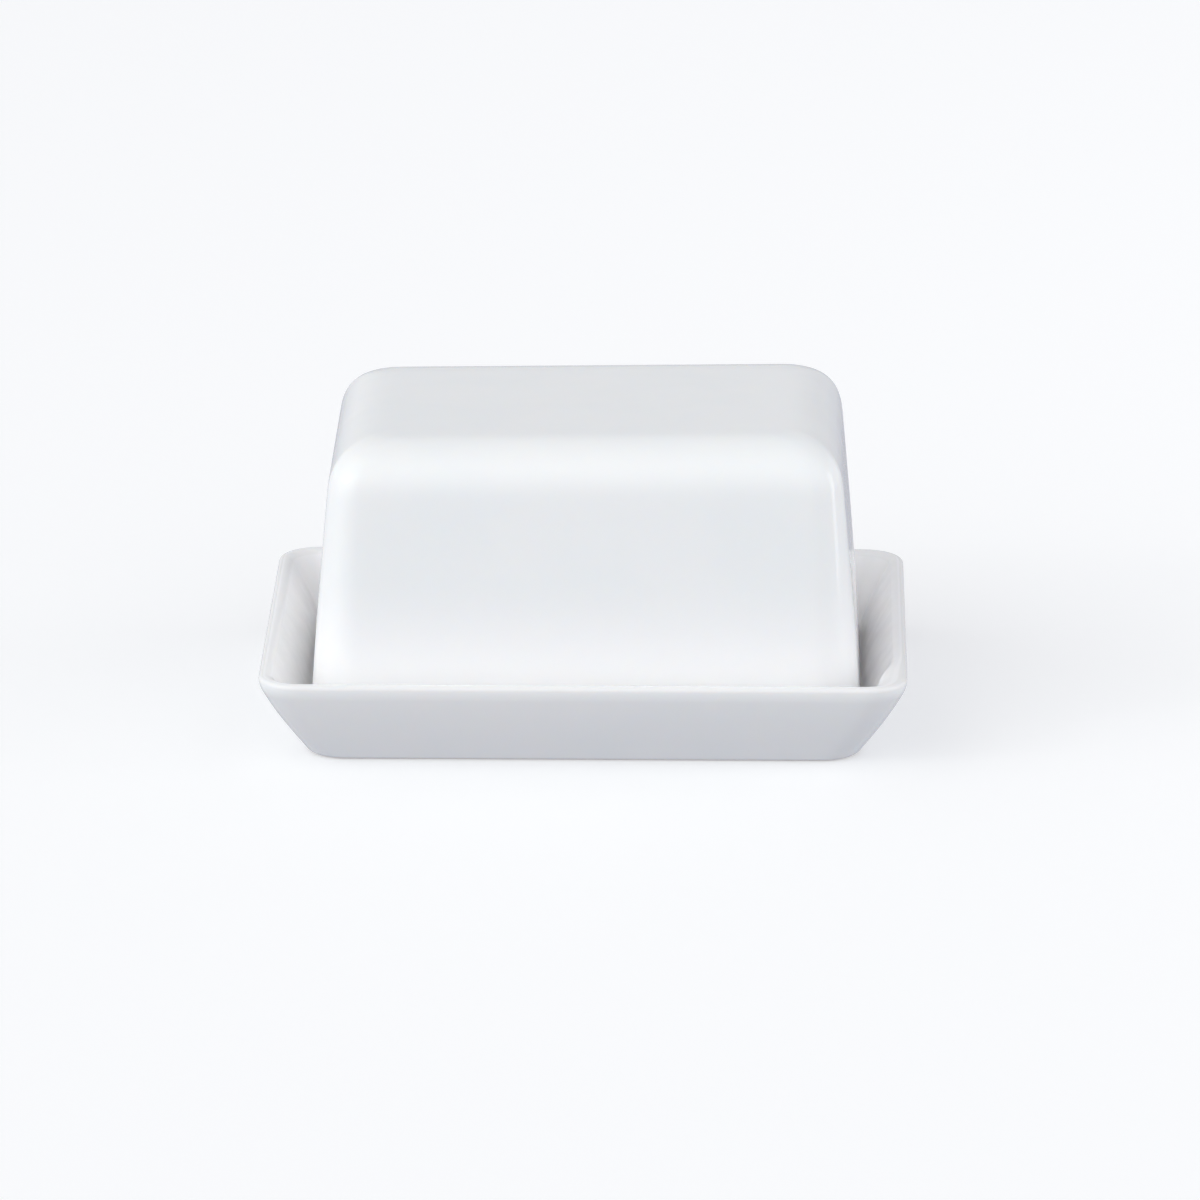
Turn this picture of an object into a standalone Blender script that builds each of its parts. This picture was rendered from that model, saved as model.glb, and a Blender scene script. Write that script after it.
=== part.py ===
"""A rectangular porcelain butter dish in two loose pieces.

The tray is shallow, with flared walls, a rolled lip and a foot ring. The lid is a tall, plain,
drafted box with no knob, which stands on the tray's floor and lifts straight off.

Metres, +Z up. The origin is on the table under the middle of the tray, and +X runs along it.
Each piece is a stack of rounded rectangles that follow the piece's section, from the middle of
one face, round its free edge, to the middle of the other face. A section's points are
(inset, z): how far the ring lies inside the piece's outline, and how high it is.
"""

import math

import bmesh
import bpy

# Tray, over its lip and from the table to the top of the lip
TRAY_LENGTH = 0.170
TRAY_WIDTH = 0.128
TRAY_HEIGHT = 0.024
TRAY_OVERHANG = 0.0124  # how far the lip stands out beyond the foot, on each side
TRAY_WALL = 0.0030
TRAY_WALL_BOW = 0.0010  # how far the wall swells beyond a straight flare
TRAY_LIP = 0.0027
TRAY_FLOOR_Z = 0.0065
FLOOR_FILLET = 0.0020

# Foot ring, the flat band under the tray that touches the table
FOOT_HEIGHT = 0.0024
FOOT_BAND = 0.0034
FOOT_EDGE = 0.0014  # rounding from the band into the wall

# Tray corner radii, seen from above
FOOT_CORNER = 0.0104
LIP_CORNER = 0.0110
FLOOR_CORNER = 0.0110

# Lid, at the foot of its walls, and from its rim to its roof
LID_LENGTH = 0.1454
LID_WIDTH = 0.1037
LID_HEIGHT = 0.0777
LID_DRAFT = 4.65  # degrees that each wall leans in
LID_WALL_BOW = 0.0004
LID_WALL = 0.0034
LID_ROOF = 0.0038
LID_CROWN = 0.0115  # rounding between the walls and the roof
LID_RIM_EDGE = 0.0009

# Lid corner radii, seen from above
RIM_CORNER = 0.0132
SHOULDER_CORNER = 0.0085
ROOF_CORNER = 0.0040

REST_GAP = 0.0003  # between the lid's rim and the tray's floor

CORNER_STEPS = 8
EDGE_STEPS = 4
CROWN_STEPS = 7
WALL_STEPS = 5
SHARP_EDGE = 40  # degrees

PORCELAIN = (0.86, 0.87, 0.88, 1.0)
GLAZE_ROUGHNESS = 0.08


def mix(low, high, share):
    return low + (high - low) * share


def arc(centre, radius, first, last, steps=EDGE_STEPS):
    """Section points round a centre, in degrees: 0 is outwards and 90 is up."""
    inset, z = centre
    angles = [math.radians(mix(first, last, step / steps)) for step in range(steps + 1)]
    return [(inset - radius * math.cos(angle), z + radius * math.sin(angle)) for angle in angles]


def bowed(start, end, bow):
    """Section points between start and end, without those two, swelling outwards by bow."""
    run, rise = end[0] - start[0], end[1] - start[1]
    span = math.copysign(math.hypot(run, rise), rise)
    points = []
    for step in range(1, WALL_STEPS):
        share = step / WALL_STEPS
        swell = 4 * bow * share * (1 - share) / span
        points.append((mix(start[0], end[0], share) - swell * rise, mix(start[1], end[1], share) + swell * run))
    return points


def tray_rings():
    """(inset, z, corner radius) from the underside, over the foot, wall and lip, to the floor."""
    slant = math.atan2(TRAY_OVERHANG, TRAY_HEIGHT)
    flare = math.degrees(slant)
    lean = math.degrees(4 * TRAY_WALL_BOW / math.hypot(TRAY_OVERHANG, TRAY_HEIGHT))

    band_outer = TRAY_OVERHANG + FOOT_EDGE / 2
    band_inner = band_outer + FOOT_BAND
    half_foot = FOOT_HEIGHT / 2
    under = arc((band_inner + FOOT_HEIGHT, half_foot), half_foot, 90, 0)
    under += arc((band_inner, half_foot), half_foot, 180, 270)[1:]
    foot = arc((band_outer, FOOT_EDGE), FOOT_EDGE, -90, -flare - lean)

    half_lip = TRAY_LIP / 2
    lip_centre = (half_lip, TRAY_HEIGHT - half_lip)
    lip = arc(lip_centre, half_lip, lean - flare, 0, 1)
    lip += arc(lip_centre, half_lip, 0, 90)[1:] + arc(lip_centre, half_lip, 90, 180 + lean - flare)[1:]

    fillet_z = TRAY_FLOOR_Z + FLOOR_FILLET
    depth = TRAY_WALL + FLOOR_FILLET - FOOT_EDGE - math.sin(slant) * (fillet_z - FOOT_EDGE)
    fillet_centre = (band_outer + depth / math.cos(slant), fillet_z)
    fillet = arc(fillet_centre, FLOOR_FILLET, -flare - lean, -90)

    outer = foot + bowed(foot[-1], lip[0], TRAY_WALL_BOW)
    inner = bowed(lip[-1], fillet[0], TRAY_WALL_BOW) + fillet
    depth_inside = TRAY_HEIGHT - TRAY_FLOOR_Z
    rings = [(inset, z, FOOT_CORNER - (inset - band_outer)) for inset, z in under]
    rings += [(inset, z, mix(FOOT_CORNER, LIP_CORNER, z / TRAY_HEIGHT)) for inset, z in outer]
    rings += [(inset, z, LIP_CORNER - inset) for inset, z in lip]
    for inset, z in inner:
        share = (z - TRAY_FLOOR_Z) / depth_inside
        rings.append((inset, z, mix(FLOOR_CORNER, LIP_CORNER - TRAY_LIP, share)))
    return rings


def lid_rings():
    """(inset, z, corner radius) from the ceiling, down the inside, round the rim, to the roof."""
    lean = math.radians(LID_DRAFT)

    def centre(z, depth):
        """Centre of a rounding at height z, that far square to the outer wall's face."""
        return z * math.tan(lean) + depth / math.cos(lean), z

    swell = math.degrees(4 * LID_WALL_BOW / LID_HEIGHT)
    low, high = LID_DRAFT - swell, LID_DRAFT + swell  # the wall's lean at its rim and at its crown
    hollow_crown = LID_CROWN - LID_WALL
    ceiling_z = LID_HEIGHT - LID_ROOF - hollow_crown
    ceiling = arc(centre(ceiling_z, LID_CROWN), hollow_crown, 90, high, CROWN_STEPS)
    rim = arc(centre(LID_RIM_EDGE, LID_WALL - LID_RIM_EDGE), LID_RIM_EDGE, 180 + low, 270)
    rim += arc(centre(LID_RIM_EDGE, LID_RIM_EDGE), LID_RIM_EDGE, -90, low)
    roof = arc(centre(LID_HEIGHT - LID_CROWN, LID_CROWN), LID_CROWN, high, 90, CROWN_STEPS)
    inside = bowed(ceiling[-1], rim[0], LID_WALL_BOW)
    outside = bowed(rim[-1], roof[0], LID_WALL_BOW)

    rings = []
    for inset, z in ceiling + inside + rim + outside + roof:
        corner = mix(RIM_CORNER, SHOULDER_CORNER, z / LID_HEIGHT)
        beyond_wall = max(0, inset - z * math.tan(lean)) / LID_CROWN
        rings.append((inset, z, mix(corner, ROOF_CORNER, min(1, beyond_wall))))
    return rings


def ring_points(half_length, half_width, corner, z):
    """A rounded rectangle, anticlockwise from above."""
    points = []
    for quarter in range(4):
        side_x = 1 if quarter in (0, 3) else -1
        side_y = 1 if quarter in (0, 1) else -1
        for step in range(CORNER_STEPS + 1):
            angle = math.pi / 2 * (quarter + step / CORNER_STEPS)
            x = side_x * (half_length - corner) + corner * math.cos(angle)
            y = side_y * (half_width - corner) + corner * math.sin(angle)
            points.append((x, y, z))
    return points


def porcelain():
    material = bpy.data.materials.new("white_porcelain")
    material.use_nodes = True
    shader = material.node_tree.nodes["Principled BSDF"]
    shader.inputs["Base Color"].default_value = PORCELAIN
    shader.inputs["Roughness"].default_value = GLAZE_ROUGHNESS
    shader.inputs["Metallic"].default_value = 0.0
    return material


def piece(name, length, width, rings, material):
    """One closed solid: the rings joined in order, with a flat face over the first and the last."""
    mesh = bpy.data.meshes.new(name)
    shape = bmesh.new()
    loops = []
    for inset, z, corner in rings:
        points = ring_points(length / 2 - inset, width / 2 - inset, corner, z)
        loops.append([shape.verts.new(point) for point in points])
    for loop, following in zip(loops, loops[1:]):
        for k in range(len(loop)):
            after = (k + 1) % len(loop)
            shape.faces.new((loop[k], loop[after], following[after], following[k]))
    shape.faces.new(reversed(loops[0]))
    shape.faces.new(loops[-1])
    shape.to_mesh(mesh)
    shape.free()
    mesh.shade_smooth()
    mesh.set_sharp_from_angle(angle=math.radians(SHARP_EDGE))
    mesh.materials.append(material)
    made = bpy.data.objects.new(name, mesh)
    bpy.context.scene.collection.objects.link(made)
    return made


def main():
    for old in list(bpy.data.objects):
        bpy.data.objects.remove(old)
    glaze = porcelain()
    piece("tray", TRAY_LENGTH, TRAY_WIDTH, tray_rings(), glaze)

    lift_axis = bpy.data.objects.new("lift_axis", None)
    lift_axis.location.z = TRAY_FLOOR_Z + REST_GAP
    bpy.context.scene.collection.objects.link(lift_axis)
    lid = piece("lid", LID_LENGTH, LID_WIDTH, lid_rings(), glaze)
    lid.parent = lift_axis


main()
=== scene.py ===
"""The looks of the butter dish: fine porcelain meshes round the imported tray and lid."""

import math

import bmesh
import bpy
from mathutils import Matrix, Vector


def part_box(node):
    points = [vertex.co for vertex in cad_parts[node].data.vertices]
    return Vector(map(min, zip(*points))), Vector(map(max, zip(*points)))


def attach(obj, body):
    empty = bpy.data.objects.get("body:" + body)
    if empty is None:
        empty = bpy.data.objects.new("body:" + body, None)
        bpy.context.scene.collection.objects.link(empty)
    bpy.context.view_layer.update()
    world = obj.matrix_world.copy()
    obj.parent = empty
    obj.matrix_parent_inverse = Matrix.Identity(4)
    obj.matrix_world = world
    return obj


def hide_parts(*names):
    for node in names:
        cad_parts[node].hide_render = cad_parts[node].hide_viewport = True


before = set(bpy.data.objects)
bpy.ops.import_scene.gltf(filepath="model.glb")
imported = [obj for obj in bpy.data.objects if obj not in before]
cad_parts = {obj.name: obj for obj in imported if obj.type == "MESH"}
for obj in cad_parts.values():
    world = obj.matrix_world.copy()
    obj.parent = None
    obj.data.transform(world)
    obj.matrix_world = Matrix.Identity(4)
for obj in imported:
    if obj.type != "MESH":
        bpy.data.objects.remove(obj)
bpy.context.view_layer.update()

MM = 0.001
TRAY_LOW, TRAY_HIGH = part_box("tray")
LID_LOW, LID_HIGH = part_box("lid")

# Rings of a piece: quads in half a corner, and along each long and short straight side
HALF_CORNER = 6
LONG_STEPS = 24
SHORT_STEPS = 18

ROUND_STEPS = 10  # rings in a rounding
LONGEST_STEP = 5 * MM  # between the rings of a straight stretch
FULLNESS = 0.62  # how far a rounding's handles reach towards the corner it rounds

FULL_CURL = 700.0  # per metre, the curvature at which the curl attribute reaches 1

LIP_CORNER = 11.0 * MM  # plan radius of the tray's lip
TRAY_FLARE = 0.53  # inset of the tray's outer wall for each metre of drop below the lip
FILL_DEPTH, FILL_LENGTH = 3.6 * MM, 26 * MM  # the lip's filled corner, at most this deep and long
FILL_FADE = 13 * MM  # how far below the lip the filling has died away
SAG = 0.8 * MM  # drop of the lid's roof at its middle: none at the right end, twice this at the left
SHIFT = 0.45 * MM  # how far to the right the lid stands

GLAZED, BARE = 0, 1  # material slots of a piece
BARE_HEIGHT = 0.7 * MM  # how far up a standing edge stays unglazed
PAINTED_BOUNCE_AND_DULLNESS_HEIGHTS = (28 * MM, 50 * MM)  # where the painted bounce light and duller glaze are full, and where they start
GLAZE_PALE, GLAZE_DEEP = (0.92, 0.93, 0.925), (0.905, 0.92, 0.92)

HORIZON = 0.12  # sine of the elevation over which the studio's lower light turns into its upper
GLOW_POWER = 6  # of the cosine by which a glow falls off
GLOW_COLOUR = (1, 1.02, 0.99, 1)

# Sockets of a colour Mix node, which has several of the same name
MIX_SHARE, MIX_BELOW, MIX_ABOVE, MIX_RESULT = 0, 6, 7, 2


# ---------------------------------------------------------------- camera and stage


def place_camera():
    """From far off with a long lens, a little above the dish and a touch to its right."""
    elevation, azimuth, roll = math.radians(17.0), math.radians(1.16), math.radians(-0.07)
    distance, picture_width = 2.58, 0.3203
    target = Vector((3.5, 0, 28.4)) * MM
    back = Vector((
        math.sin(azimuth) * math.cos(elevation),
        -math.cos(azimuth) * math.cos(elevation),
        math.sin(elevation),
    ))
    right = Vector((math.cos(azimuth), math.sin(azimuth), 0))
    up = back.cross(right)
    turned = Matrix((right, up, back)).transposed() @ Matrix.Rotation(roll, 3, "Z")
    data = bpy.data.cameras.new("camera")
    data.sensor_width = 36
    data.lens = data.sensor_width * distance / picture_width
    camera = bpy.data.objects.new("camera", data)
    camera.matrix_world = Matrix.Translation(target + distance * back) @ turned.to_4x4()
    bpy.context.scene.collection.objects.link(camera)
    bpy.context.scene.camera = camera


def toward(azimuth, elevation):
    """The direction of a light, in degrees. Azimuth 0 is the camera's side, 90 is +X."""
    turn, rise = math.radians(azimuth), math.radians(elevation)
    return Vector((math.sin(turn) * math.cos(rise), -math.cos(turn) * math.cos(rise), math.sin(rise)))


def add_softbox(name, azimuth, elevation, distance, width, height, radiance):
    """A rectangular soft light that faces the dish."""
    away = toward(azimuth, elevation)
    data = bpy.data.lights.new(name, "AREA")
    data.shape = "RECTANGLE"
    data.size, data.size_y = width, height
    data.energy = radiance * math.pi * width * height
    light = bpy.data.objects.new(name, data)
    light.location = Vector((0, 0, 40 * MM)) + distance * away
    light.rotation_mode = "QUATERNION"
    light.rotation_quaternion = away.to_track_quat("Z", "Y")
    light.visible_camera = False
    bpy.context.scene.collection.objects.link(light)


def build_world(below, above, glows):
    """A pale studio: even light from below and from above, and broad soft glows in it.

    A glow is (azimuth, elevation, radiance) and falls off over some 30 degrees.
    """
    world = bpy.data.worlds.new("studio")
    world.use_nodes = True
    nodes, links = world.node_tree.nodes, world.node_tree.links
    direction = nodes.new("ShaderNodeTexCoord").outputs["Generated"]
    axes = nodes.new("ShaderNodeSeparateXYZ")
    links.new(direction, axes.inputs[0])
    upward = nodes.new("ShaderNodeMapRange")
    upward.interpolation_type = "SMOOTHSTEP"
    upward.inputs["From Min"].default_value = -HORIZON
    upward.inputs["From Max"].default_value = HORIZON
    links.new(axes.outputs["Z"], upward.inputs["Value"])
    tint = nodes.new("ShaderNodeMix")
    tint.data_type = "RGBA"
    tint.inputs[MIX_BELOW].default_value = (*below, 1)
    tint.inputs[MIX_ABOVE].default_value = (*above, 1)
    links.new(upward.outputs["Result"], tint.inputs[MIX_SHARE])
    links.new(tint.outputs[MIX_RESULT], nodes["Background"].inputs["Color"])
    total = None
    for azimuth, elevation, radiance in glows:
        facing = nodes.new("ShaderNodeVectorMath")
        facing.operation = "DOT_PRODUCT"
        links.new(direction, facing.inputs[0])
        facing.inputs[1].default_value = toward(azimuth, elevation)
        ahead = math_node(nodes, links, "MAXIMUM", facing.outputs["Value"], 0)
        falling = math_node(nodes, links, "POWER", ahead, GLOW_POWER)
        glow = math_node(nodes, links, "MULTIPLY", falling, radiance)
        total = math_node(nodes, links, "ADD", glow, total or 0)
    glowing = nodes.new("ShaderNodeBackground")
    glowing.inputs["Color"].default_value = GLOW_COLOUR
    links.new(total, glowing.inputs["Strength"])
    both = nodes.new("ShaderNodeAddShader")
    links.new(nodes["Background"].outputs[0], both.inputs[0])
    links.new(glowing.outputs[0], both.inputs[1])
    links.new(both.outputs[0], nodes["World Output"].inputs["Surface"])
    bpy.context.scene.world = world


def math_node(nodes, links, operation, first, second):
    """A maths node's result. The second operand is a number or another node's output."""
    node = nodes.new("ShaderNodeMath")
    node.operation = operation
    links.new(first, node.inputs[0])
    if isinstance(second, (int, float)):
        node.inputs[1].default_value = second
    else:
        links.new(second, node.inputs[1])
    return node.outputs[0]


def build_floor():
    """A plain pale table. It shows the dish's shadow, and the light on the dish comes past it."""
    mesh = bpy.data.meshes.new("floor")
    half = 4.0
    corners = [(-half, -half, 0), (half, -half, 0), (half, half, 0), (-half, half, 0)]
    mesh.from_pydata(corners, [], [(0, 1, 2, 3)])
    floor = bpy.data.objects.new("floor", mesh)
    material = bpy.data.materials.new("floor")
    material.use_nodes = True
    shader = material.node_tree.nodes["Principled BSDF"]
    shader.inputs["Base Color"].default_value = (0.94, 0.94, 0.94, 1)
    shader.inputs["Roughness"].default_value = 0.8
    shader.inputs["Specular IOR Level"].default_value = 0.0
    shader.inputs["Emission Color"].default_value = (1, 1, 1, 1)
    shader.inputs["Emission Strength"].default_value = 0.13
    mesh.materials.append(material)
    floor.visible_diffuse = False
    floor.visible_glossy = False
    floor.visible_shadow = False
    bpy.context.scene.collection.objects.link(floor)


def build_stage():
    """The studio: glows in the world, three softboxes and the table."""
    bpy.context.scene.view_settings.view_transform = "Standard"
    build_world((0.289, 0.296, 0.356), (0.333, 0.334, 0.371), [
        (0, 50, 0.46),
        (0, 15, 0.39),
        (-60, 25, 1.75),
        (60, 25, 0.84),
        (-145, 25, 0.36),
        (180, 20, 0.11),
        (-100, 45, 0.12),
        (-90, -25, 0.45),
        (90, -25, 0.57),
        (-140, -20, 0.32),
        (140, -20, 0.3),
    ])
    add_softbox("key_left", -60, 25, 1.6, 0.15, 0.15, 12.0)
    add_softbox("right_panel", 110, 15, 1.2, 1.2, 0.7, 0.45)
    add_softbox("right_strip", 86, 10, 1.2, 0.3, 0.8, 1.45)
    build_floor()


# ---------------------------------------------------------------- sections and rings


def mix(low, high, share):
    return low + (high - low) * share


def eased(share):
    """From 0 to 1 with a soft start and stop."""
    share = max(0.0, min(1.0, share))
    return share * share * (3 - 2 * share)


def rounded_path(vertices):
    """The rings along a section, as (inset, z, plan corner), from its vertices.

    A vertex is (inset, z, plan corner, reach): reach is how far from the vertex its rounding
    starts, at most half way to the next vertex. A rounding is a curve that tightens gently towards
    its middle, as glaze makes it, and not an arc.
    """
    flat = [Vector(vertex[:3]) for vertex in vertices]
    points = [flat[0]]
    for k in range(1, len(flat) - 1):
        reach = vertices[k][3]
        before, after = flat[k - 1] - flat[k], flat[k + 1] - flat[k]
        start = flat[k] + before * min(0.5, reach / before.xy.length)
        stop = flat[k] + after * min(0.5, reach / after.xy.length)
        points += straight(points[-1], start)
        points += rounding(start, flat[k], stop)
    return points + straight(points[-1], flat[-1]) + [flat[-1]]


def straight(last, following):
    """Points between two others, without those two."""
    count = max(1, math.ceil((following - last).xy.length / LONGEST_STEP))
    return [last.lerp(following, step / count) for step in range(1, count)]


def rounding(start, corner, stop):
    first, second = start.lerp(corner, FULLNESS), stop.lerp(corner, FULLNESS)
    points = []
    for step in range(ROUND_STEPS + 1):
        t = step / ROUND_STEPS
        u = 1 - t
        points.append(u ** 3 * start + 3 * t * u * u * first + 3 * t * t * u * second + t ** 3 * stop)
    return points


def ring(half_long, half_short, corner, z):
    """A rounded rectangle of points, anticlockwise from the middle of the +X +Y corner."""
    points = []
    centres = [
        Vector((side_x * (half_long - corner), side_y * (half_short - corner), z))
        for side_x, side_y in ((1, 1), (-1, 1), (-1, -1), (1, -1))
    ]
    for k, steps in enumerate((LONG_STEPS, SHORT_STEPS) * 2):
        here, there = centres[k], centres[(k + 1) % 4]
        middle = math.pi / 4 + k * math.pi / 2
        for step in range(HALF_CORNER):
            points.append(here + on_circle(corner, middle + math.pi / 4 * step / HALF_CORNER))
        side = on_circle(corner, middle + math.pi / 4)
        for step in range(steps + 1):
            points.append(here.lerp(there, step / steps) + side)
        for step in range(1, HALF_CORNER):
            points.append(there + on_circle(corner, middle + math.pi / 4 * (1 + step / HALF_CORNER)))
    return points


def on_circle(radius, angle):
    return Vector((radius * math.cos(angle), radius * math.sin(angle), 0))


def patch(shape, loop, upward):
    """Fills a ring with a grid of quads, curved in as its edges are."""
    long_side = 2 * HALF_CORNER + LONG_STEPS
    short_side = 2 * HALF_CORNER + SHORT_STEPS
    back = loop[: long_side + 1]
    left = loop[long_side : long_side + short_side + 1]
    front = loop[long_side + short_side : 2 * long_side + short_side + 1][::-1]
    right = (loop[2 * long_side + short_side :] + [loop[0]])[::-1]
    grid = [back]
    for row in range(1, short_side):
        v = row / short_side
        line = [right[row]]
        for column in range(1, long_side):
            u = column / long_side
            edges = back[column].co.lerp(front[column].co, v) + right[row].co.lerp(left[row].co, u)
            corners = back[0].co.lerp(back[-1].co, u).lerp(front[0].co.lerp(front[-1].co, u), v)
            line.append(shape.verts.new(edges - corners, loop[0]))
        line.append(left[row])
        grid.append(line)
    grid.append(front)
    for above, below in zip(grid, grid[1:]):
        for k in range(long_side):
            corners = (above[k], above[k + 1], below[k + 1], below[k])
            shape.faces.new(corners if upward else corners[::-1])


def curl(path):
    """How sharply the section turns at each ring: 1 on a convex edge, -1 in a tight hollow."""
    spots = [Vector((-inset, z)) for inset, z, corner in path]
    turns = [0.0] * len(spots)
    for k in range(1, len(spots) - 1):
        before, after = spots[k] - spots[k - 1], spots[k + 1] - spots[k]
        if before.length > 0 and after.length > 0:
            turns[k] = -before.angle_signed(after) / (before.length + after.length) * 2
    return [max(-1.0, min(1.0, turn / FULL_CURL)) for turn in turns]


def painted_bounce_and_dullness(path, base_z, first):
    """The share of painted bounce light and duller glaze at each ring, from 0 to 1, from ring first on:
    full low down, none up high.
    """
    low, high = PAINTED_BOUNCE_AND_DULLNESS_HEIGHTS
    depths = [(high - base_z - z) / (high - low) for inset, z, corner in path]
    return [0.0 if k < first else max(0.0, min(1.0, depth)) for k, depth in enumerate(depths)]


def loft(name, half_long, half_short, base_z, path, first, bend):
    """A closed piece round its section, bent out of true by bend(point).

    Its lowest BARE_HEIGHT is left unglazed. Its points carry the section's curl and, from ring first on,
    the share of painted bounce light and duller glaze.
    """
    shape = bmesh.new()
    curled, bounce_dullness_layer = (shape.verts.layers.float.new(layer) for layer in ("curl", "painted_bounce_and_dullness"))
    loops = []
    outermost = min(inset for inset, z, corner in path)
    for (inset, z, corner), turn, bounce_dullness in zip(path, curl(path), painted_bounce_and_dullness(path, base_z, first)):
        inset -= outermost
        points = ring(half_long - inset, half_short - inset, corner, base_z + z)
        loops.append([shape.verts.new(point) for point in points])
        for vertex in loops[-1]:
            vertex[curled], vertex[bounce_dullness_layer] = turn, bounce_dullness
    for loop, following in zip(loops, loops[1:]):
        for k in range(len(loop)):
            after = (k + 1) % len(loop)
            shape.faces.new((loop[k], loop[after], following[after], following[k]))
    patch(shape, loops[0], False)
    patch(shape, loops[-1], True)
    for face in shape.faces:
        if max(vertex.co.z for vertex in face.verts) < base_z + BARE_HEIGHT:
            face.material_index = BARE
    for vertex in shape.verts:
        vertex.co = bend(vertex.co)
    mesh = bpy.data.meshes.new(name)
    shape.to_mesh(mesh)
    shape.free()
    mesh.shade_smooth()
    made = bpy.data.objects.new(name, mesh)
    bpy.context.scene.collection.objects.link(made)
    smoother = made.modifiers.new("smooth", "SUBSURF")
    smoother.levels = smoother.render_levels = 1
    return made


# ---------------------------------------------------------------- the two pieces


def tray_path():
    """From under the middle, over the foot, the wall and the lip, to the floor inside."""
    height = TRAY_HIGH.z - TRAY_LOW.z
    foot, lip, floor = 10.2 * MM, LIP_CORNER, 5.4 * MM
    return rounded_path([
        (34.0 * MM, 2.4 * MM, 3.0 * MM, 0),
        (18.2 * MM, 2.4 * MM, 6.0 * MM, 1.4 * MM),
        (16.8 * MM, 0.0, 6.6 * MM, 1.0 * MM),
        (12.7 * MM, 0.0, foot, 1.3 * MM),
        (5.0 * MM, 0.5 * height, (foot + lip) / 2, 8 * MM),
        (0.45 * MM, height - 3.0 * MM, lip, 1.6 * MM),
        (0.0 * MM, height, lip, 1.5 * MM),
        (3.3 * MM, height, lip - 3.0 * MM, 1.5 * MM),
        (9.6 * MM, 0.58 * height, 6.2 * MM, 9 * MM),
        (12.1 * MM, 6.5 * MM, floor, 2.6 * MM),
        (34.0 * MM, 6.5 * MM, 3.0 * MM, 0),
    ])


def lid_path():
    """From the ceiling, down the inside, round the rim, and up the outside to the roof."""
    height = LID_HIGH.z - LID_LOW.z
    wall, roof = 3.4 * MM, 3.8 * MM
    rim, shoulder = 13.2 * MM, 8.4 * MM
    waist_z, waist, top = 28 * MM, 1.85 * MM, 6.2 * MM
    waist_corner = mix(rim, shoulder, waist_z / height)
    return rounded_path([
        (34.0 * MM, height - roof, 2.0 * MM, 0),
        (wall + top, height - roof, 5.0 * MM, 10.0 * MM),
        (wall + waist, waist_z, waist_corner - wall, 14 * MM),
        (wall, 0, rim - wall, 1.1 * MM),
        (0, 0, rim, 1.1 * MM),
        (waist, waist_z, waist_corner, 14 * MM),
        (top, height, shoulder, 13.2 * MM),
        (34.0 * MM, height, 2.0 * MM, 0),
    ])


def bend_tray(point):
    """Glaze has run and filled out the inside of the lip at the front right corner."""
    drop = TRAY_HIGH.z - point.z
    inset = TRAY_FLARE * drop
    past_side = max(0.0, TRAY_LOW.y + inset + LIP_CORNER - point.y)
    edge = TRAY_HIGH.x - inset - LIP_CORNER + math.sqrt(max(0.0, LIP_CORNER ** 2 - past_side ** 2))
    depth = edge - point.x
    along = max(0.0, min(1.0, (point.y - TRAY_LOW.y - 3 * MM) / FILL_LENGTH))
    hump = 27 / 4 * along * (1 - along) ** 2  # 1 at its top, a third of the way along
    share = eased(depth / (3 * MM)) * eased((10 * MM - depth) / (5 * MM)) * eased(1 - drop / FILL_FADE)
    return point - Vector((FILL_DEPTH * share * hump, 0, 0))


def bend_lid(point):
    """The kiln left the lid's roof a little lower on the left, and it stands a touch to the right."""
    share = (point.z - LID_LOW.z) / (LID_HIGH.z - LID_LOW.z)
    drop = SAG * (1 - point.x / (66 * MM))
    return point + Vector((SHIFT, 0, -drop * share))


class Surface:
    """A Principled material, and short ways to lay its procedural nodes."""

    def __init__(self, name):
        self.material = bpy.data.materials.new(name)
        self.material.use_nodes = True
        self.tree = self.material.node_tree
        self.shader = self.tree.nodes["Principled BSDF"]
        self.place = self.tree.nodes.new("ShaderNodeTexCoord").outputs["Object"]

    def link(self, output, target):
        self.tree.links.new(output, target)
        return target

    def noise(self, size, detail=2.0, roughness=0.5):
        """Noise from 0 to 1 whose lumps measure about size."""
        node = self.tree.nodes.new("ShaderNodeTexNoise")
        node.inputs["Scale"].default_value = 1 / size
        node.inputs["Detail"].default_value = detail
        node.inputs["Roughness"].default_value = roughness
        self.link(self.place, node.inputs["Vector"])
        return node.outputs["Fac"]

    def spots(self, spacing, radius):
        """1 within radius of a scattered point, 0 outside."""
        node = self.tree.nodes.new("ShaderNodeTexVoronoi")
        node.inputs["Scale"].default_value = 1 / spacing
        self.link(self.place, node.inputs["Vector"])
        return self.ramp(node.outputs["Distance"], radius / spacing, 0.6 * radius / spacing, 0, 1)

    def ramp(self, value, start, stop, low, high):
        node = self.tree.nodes.new("ShaderNodeMapRange")
        node.interpolation_type = "SMOOTHSTEP"
        self.link(value, node.inputs["Value"])
        for name, number in (("From Min", start), ("From Max", stop), ("To Min", low), ("To Max", high)):
            node.inputs[name].default_value = number
        return node.outputs["Result"]

    def stored(self, name):
        """A number that the mesh carries at its points."""
        node = self.tree.nodes.new("ShaderNodeAttribute")
        node.attribute_name = name
        return node.outputs["Fac"]

    def tint(self, share, below, colour):
        """The colour laid over what is below, as thick as share says."""
        node = self.tree.nodes.new("ShaderNodeMix")
        node.data_type = "RGBA"
        self.link(share, node.inputs[MIX_SHARE])
        if isinstance(below, tuple):
            node.inputs[MIX_BELOW].default_value = (*below, 1)
        else:
            self.link(below, node.inputs[MIX_BELOW])
        node.inputs[MIX_ABOVE].default_value = (*colour, 1)
        return node.outputs[MIX_RESULT]

    def bump(self, height, depth, under=None):
        node = self.tree.nodes.new("ShaderNodeBump")
        node.inputs["Strength"].default_value = 1.0
        node.inputs["Distance"].default_value = depth
        self.link(height, node.inputs["Height"])
        if under:
            self.link(under, node.inputs["Normal"])
        return node.outputs["Normal"]


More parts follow.
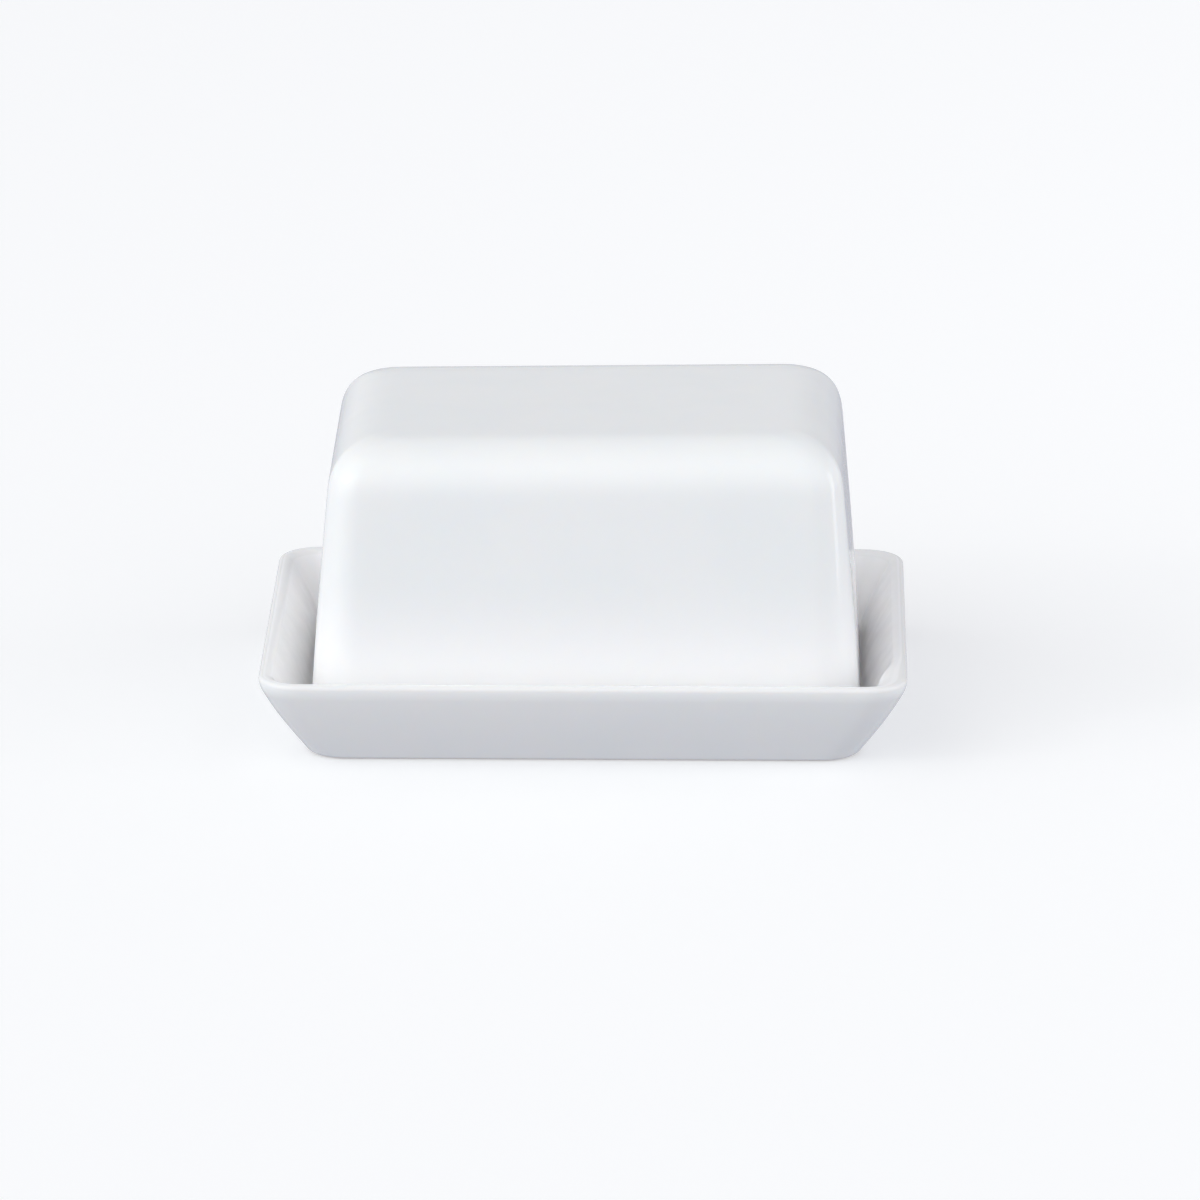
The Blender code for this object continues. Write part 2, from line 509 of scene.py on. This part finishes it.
def glaze_material():
    """White glaze: cooler where it pools; darker and warmer on convex rounds, partly where it runs thin
    and partly as painted shade; whiter inside the tray and low on the lid's outside as painted bounce
    light; and never quite flat.
    """
    glaze = Surface("white_glaze")
    turn, bounce_dullness = glaze.stored("curl"), glaze.stored("painted_bounce_and_dullness")
    colour = glaze.tint(glaze.ramp(glaze.noise(28 * MM), 0.4, 0.62, 0, 1), GLAZE_PALE, GLAZE_DEEP)
    # painted bounce light: whiter inside the tray and low on the lid's outside, where light bounces
    # between them
    colour = glaze.tint(glaze.ramp(bounce_dullness, 0, 1, 0, 0.95), colour, (0.985, 0.98, 0.985))
    colour = glaze.tint(glaze.ramp(turn, -0.05, -0.6, 0, 0.5), colour, (0.87, 0.9, 0.91))
    # darker and warmer on convex rounds: partly thin glaze, partly painted shade that tones down the
    # light on the lip and the lid's crown
    colour = glaze.tint(glaze.ramp(turn, 0.15, 0.9, 0, 0.75), colour, (0.87, 0.86, 0.855))
    colour = glaze.tint(glaze.spots(21 * MM, 0.16 * MM), colour, (0.52, 0.48, 0.43))
    glaze.link(colour, glaze.shader.inputs["Base Color"])
    sheen = glaze.ramp(glaze.noise(9 * MM, 4.0, 0.6), 0.35, 0.7, 0.05, 0.11)
    duller = glaze.ramp(bounce_dullness, 0, 1, 0, 0.15)
    roughness = math_node(glaze.tree.nodes, glaze.tree.links, "ADD", sheen, duller)
    glaze.link(roughness, glaze.shader.inputs["Roughness"])
    waves = glaze.bump(glaze.noise(13 * MM, 1.0), 0.035 * MM)
    peel = glaze.bump(glaze.noise(2.6 * MM, 1.0), 0.004 * MM, waves)
    glaze.link(peel, glaze.shader.inputs["Normal"])
    glaze.shader.inputs["IOR"].default_value = 1.52
    glaze.shader.inputs["Subsurface Weight"].default_value = 0.35
    glaze.shader.inputs["Subsurface Radius"].default_value = (1.0, 0.85, 0.7)
    glaze.shader.inputs["Subsurface Scale"].default_value = 3.0 * MM
    return glaze.material


def bare_material():
    """Unglazed porcelain, as on a foot: warm, matt and finely grained, with a few grey rubs."""
    bare = Surface("bare_porcelain")
    grain = bare.noise(0.35 * MM, 5.0, 0.65)
    colour = bare.tint(bare.ramp(grain, 0.35, 0.65, 0, 1), (0.84, 0.81, 0.76), (0.76, 0.73, 0.68))
    colour = bare.tint(bare.ramp(bare.noise(7 * MM, 3.0), 0.56, 0.72, 0, 0.45), colour, (0.62, 0.6, 0.57))
    bare.link(colour, bare.shader.inputs["Base Color"])
    bare.link(bare.ramp(grain, 0.3, 0.7, 0.7, 0.85), bare.shader.inputs["Roughness"])
    bare.link(bare.bump(grain, 0.02 * MM), bare.shader.inputs["Normal"])
    return bare.material


place_camera()
build_stage()
glaze, bare = glaze_material(), bare_material()

# Painted bounce light and duller glaze on the tray's inside, from its lip on, and up the lid's outside,
# from its rim on
tray_rings = tray_path()
tray = loft(
    "porcelain_tray", TRAY_HIGH.x, TRAY_HIGH.y, TRAY_LOW.z, tray_rings,
    tray_rings.index(max(tray_rings, key=lambda spot: spot.y)), bend_tray,
)
lid_rings = lid_path()
lid = loft(
    "porcelain_lid", LID_HIGH.x, LID_HIGH.y, LID_LOW.z, lid_rings,
    lid_rings.index(min(lid_rings, key=lambda spot: spot.y)), bend_lid,
)
for piece, node in ((tray, "tray"), (lid, "lid")):
    piece.data.materials.append(glaze)
    piece.data.materials.append(bare)
    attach(piece, node)
    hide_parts(node)
